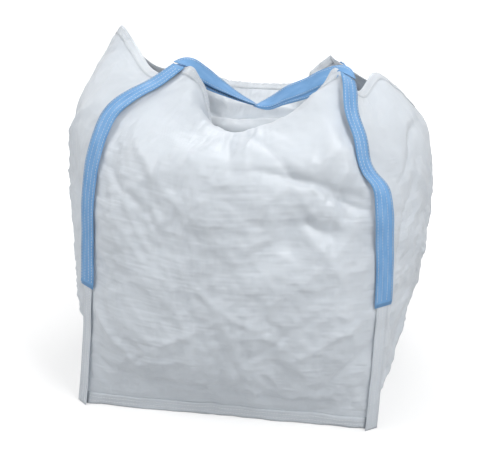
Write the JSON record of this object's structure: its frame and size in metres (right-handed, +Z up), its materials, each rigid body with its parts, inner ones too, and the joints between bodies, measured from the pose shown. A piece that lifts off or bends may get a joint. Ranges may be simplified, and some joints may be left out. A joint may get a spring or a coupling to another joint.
{
  "type": "bulk bag",
  "caption": "Open-top bulk bag of woven polypropylene with a square base, sewn corner seams, a hemmed slumped mouth and swinging webbing lifting loops.",
  "frame": {"origin": "middle of the flat square base, on its underside", "axes": "+Z up; -Y towards the front; +X to the right"},
  "size_m": [1.1843, 1.0888, 1.1002],
  "materials": {
    "panel_fabric": "woven coated polypropylene, satin",
    "seam_fabric": "folded woven polypropylene, satin",
    "webbing": "ribbed polypropylene webbing, satin",
    "thread": "twisted polyester thread"
  },
  "bodies": {
    "bag": {"back_panel": "panel_fabric", "base_seam_back": "seam_fabric", "base_seam_front": "seam_fabric", "base_seam_left": "seam_fabric", "base_seam_right": "seam_fabric", "base_stitching_back": "thread", "base_stitching_front": "thread", "base_stitching_left": "thread", "base_stitching_right": "thread", "bottom_panel": "panel_fabric", "corner_seam_back_left": "seam_fabric", "corner_seam_back_right": "seam_fabric", "corner_seam_front_left": "seam_fabric", "corner_seam_front_right": "seam_fabric", "corner_stitching_back_left": "thread", "corner_stitching_back_right": "thread", "corner_stitching_front_left": "thread", "corner_stitching_front_right": "thread", "front_panel": "panel_fabric", "left_panel": "panel_fabric", "right_panel": "panel_fabric", "rim_hem_back": "seam_fabric", "rim_hem_front": "seam_fabric", "rim_hem_left": "seam_fabric", "rim_hem_right": "seam_fabric", "rim_stitching_back": "thread", "rim_stitching_front": "thread", "rim_stitching_left": "thread", "rim_stitching_right": "thread", "strap_inner_leg_back_left": "webbing", "strap_inner_leg_back_right": "webbing", "strap_inner_leg_front_left": "webbing", "strap_inner_leg_front_right": "webbing", "strap_outer_leg_back_left": "webbing", "strap_outer_leg_back_right": "webbing", "strap_outer_leg_front_left": "webbing", "strap_outer_leg_front_right": "webbing", "strap_stitching_back_left": "thread", "strap_stitching_back_right": "thread", "strap_stitching_front_left": "thread", "strap_stitching_front_right": "thread"},
    "front_left_loop": {"lifting_loop_front_left": "webbing"},
    "front_right_loop": {"lifting_loop_front_right": "webbing"},
    "back_left_loop": {"lifting_loop_back_left": "webbing"},
    "back_right_loop": {"lifting_loop_back_right": "webbing"}
  },
  "joints": [
    {"name": "front_left_loop_swing", "type": "hinge", "parent": "bag", "child": "front_left_loop", "pos_m": [-0.169, -0.25175, 1.042], "axis": [0.7786, -0.6275, 0], "range_deg": [0, 150]},
    {"name": "front_right_loop_swing", "type": "hinge", "parent": "bag", "child": "front_right_loop", "pos_m": [0.34089, -0.28276, 1.067], "axis": [0.4472, 0.8944, 0], "range_deg": [0, 150]},
    {"name": "back_left_loop_swing", "type": "hinge", "parent": "bag", "child": "back_left_loop", "pos_m": [-0.31891, 0.31014, 0.952], "axis": [0.8664, 0.4993, 0], "range_deg": [0, 150]},
    {"name": "back_right_loop_swing", "type": "hinge", "parent": "bag", "child": "back_right_loop", "pos_m": [0.25491, 0.30981, 1.002], "axis": [0.8664, -0.4993, 0], "range_deg": [0, 150]}
  ]
}
